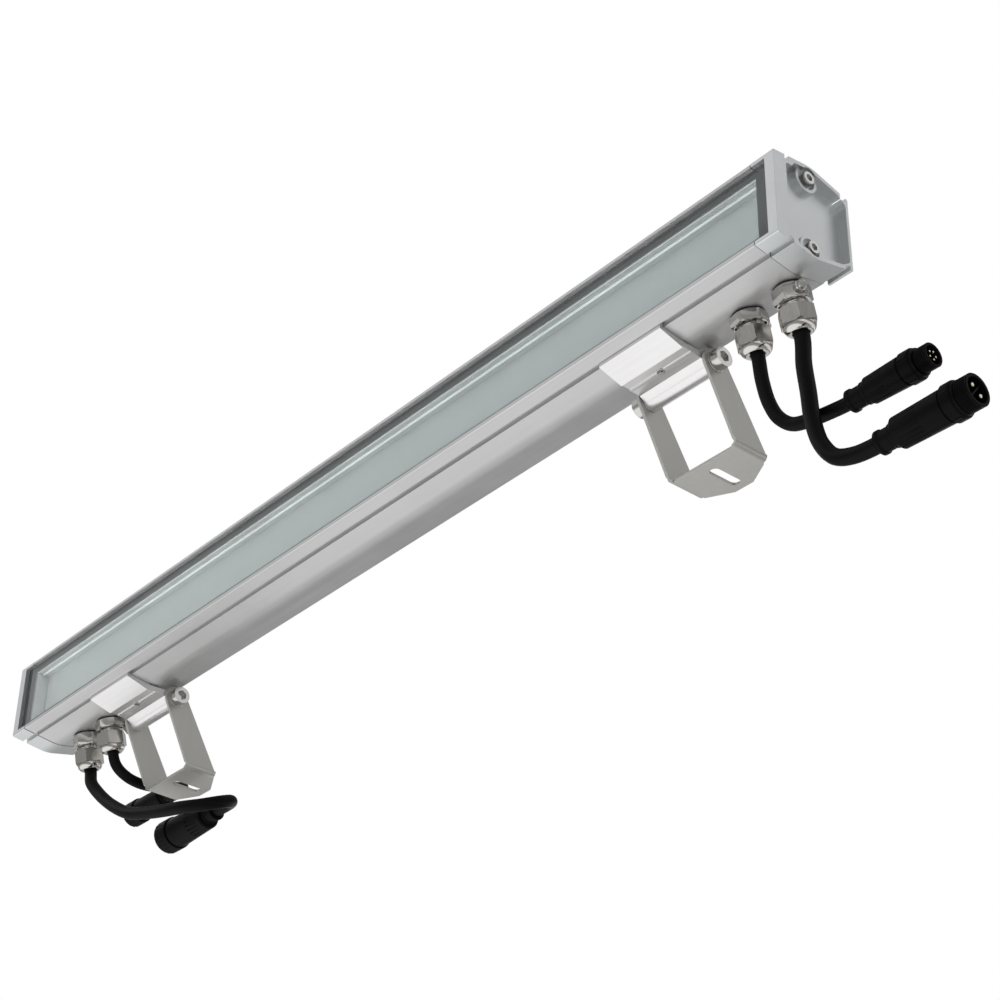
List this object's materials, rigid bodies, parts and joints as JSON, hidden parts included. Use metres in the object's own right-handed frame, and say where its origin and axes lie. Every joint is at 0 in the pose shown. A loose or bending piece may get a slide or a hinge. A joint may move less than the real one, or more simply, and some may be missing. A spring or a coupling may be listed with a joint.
{
  "type": "outdoor wall washer light",
  "caption": "Linear outdoor wall washer: extruded aluminium housing with recessed glass, tilting slotted brackets on sliding clamps, cable glands and leads with screw connectors.",
  "frame": {"origin": "centre of the mounting slot of the right bracket, on the underside of its base, which is the mounting face", "axes": "+X along the light towards its right end, +Y from the glass towards the back, +Z from the mounting face towards the housing"},
  "size_m": [1.1164, 0.1573, 0.2511],
  "materials": {
    "anodised_aluminium": "satin anodised, fine lengthwise extrusion lines",
    "cap_aluminium": "satin, fine bead-blasted",
    "clamp_aluminium": "bright satin extrusion",
    "tray_aluminium": "mill finish",
    "bracket_steel": "satin stainless sheet",
    "stainless_fasteners": "polished stainless",
    "nickel": "nickel plated, bright",
    "contact_brass": "plated contact",
    "black_rubber": "matte",
    "grey_seal": "matte silicone",
    "cable_jacket": "matte jacket",
    "connector_plastic": "matte moulded",
    "window_glass": "clear, slightly green",
    "frosted_panel": "frosted, pale blue-green",
    "channel_paint": "satin grey",
    "white_board": "solder mask",
    "green_board": "solder mask",
    "led_phosphor": "phosphor",
    "clear_optic": "clear",
    "driver_case": "moulded",
    "terminal_plastic": "moulded",
    "wire_insulation": "insulated wire"
  },
  "bodies": {
    "right_bracket": {"bracket_right": "bracket_steel"},
    "right_clamp": {"clamp_right": "clamp_aluminium", "clamp_screw_right": "stainless_fasteners", "pivot_bolts_right": "stainless_fasteners", "pivot_washers_right": "stainless_fasteners"},
    "housing": {"housing_profile": "anodised_aluminium", "end_cap_right": "cap_aluminium", "end_cap_left": "cap_aluminium", "cap_gaskets": "black_rubber", "cap_screws_right": "stainless_fasteners", "cap_screws_left": "stainless_fasteners", "front_glass": "window_glass", "glass_seal": "grey_seal", "lens_panel": "frosted_panel", "light_channel": "channel_paint", "led_boards": "white_board", "led_chips": "led_phosphor", "led_optics": "clear_optic", "gear_tray": "tray_aluminium", "led_driver": "driver_case", "control_board": "green_board", "terminal_blocks": "terminal_plastic", "lead_wires": "wire_insulation", "cable_tails": "cable_jacket", "gland_body_right_data": "nickel", "gland_body_right_power": "nickel", "gland_body_left_power": "nickel", "gland_body_left_data": "nickel", "gland_nut_right_data": "nickel", "gland_nut_right_power": "nickel", "gland_nut_left_power": "nickel", "gland_nut_left_data": "nickel", "gland_seals": "black_rubber", "gland_washers": "black_rubber", "gland_locknuts": "nickel", "vent_screws": "stainless_fasteners", "cable_right_data": "cable_jacket", "cable_right_power": "cable_jacket", "cable_left_power": "cable_jacket", "cable_left_data": "cable_jacket", "data_plug_body": "connector_plastic", "data_plug_pins": "contact_brass", "power_plug_body": "connector_plastic", "power_plug_pins": "contact_brass", "power_socket_body": "connector_plastic", "power_socket_insert": "connector_plastic", "data_socket_body": "connector_plastic", "data_socket_insert": "connector_plastic"},
    "left_clamp": {"clamp_left": "clamp_aluminium", "clamp_screw_left": "stainless_fasteners", "pivot_bolts_left": "stainless_fasteners", "pivot_washers_left": "stainless_fasteners"},
    "left_bracket": {"bracket_left": "bracket_steel"},
    "power_nut": {"power_socket_nut": "connector_plastic"},
    "data_nut": {"data_socket_nut": "connector_plastic"}
  },
  "joints": [
    {"name": "tilt", "type": "hinge", "parent": "right_bracket", "child": "right_clamp", "pos_m": [0, -0.04137, 0.0628], "axis": [1, 0, 0], "range_deg": [-60, 90]},
    {"name": "right_clamp_slide", "type": "slide", "parent": "right_clamp", "child": "housing", "axis": [1, 0, 0], "range_m": [-0.012, 0.2]},
    {"name": "left_clamp_slide", "type": "slide", "parent": "housing", "child": "left_clamp", "axis": [1, 0, 0], "range_m": [0, 0.2]},
    {"name": "left_bracket_tilt", "type": "hinge", "parent": "left_clamp", "child": "left_bracket", "pos_m": [-0.6903, -0.04137, 0.0628], "axis": [1, 0, 0], "range_deg": [-90, 60]},
    {"name": "power_nut_turn", "type": "hinge", "parent": "housing", "child": "power_nut", "pos_m": [-0.7158, 0.00543, -0.0378], "axis": [1, 0, 0], "continuous": true},
    {"name": "data_nut_turn", "type": "hinge", "parent": "housing", "child": "data_nut", "pos_m": [-0.8448, 0.04043, 0.0397], "axis": [1, 0, 0], "continuous": true}
  ],
  "couplings": [
    {"joint": "left_bracket_tilt", "follows": "tilt", "ratio": -1}
  ]
}
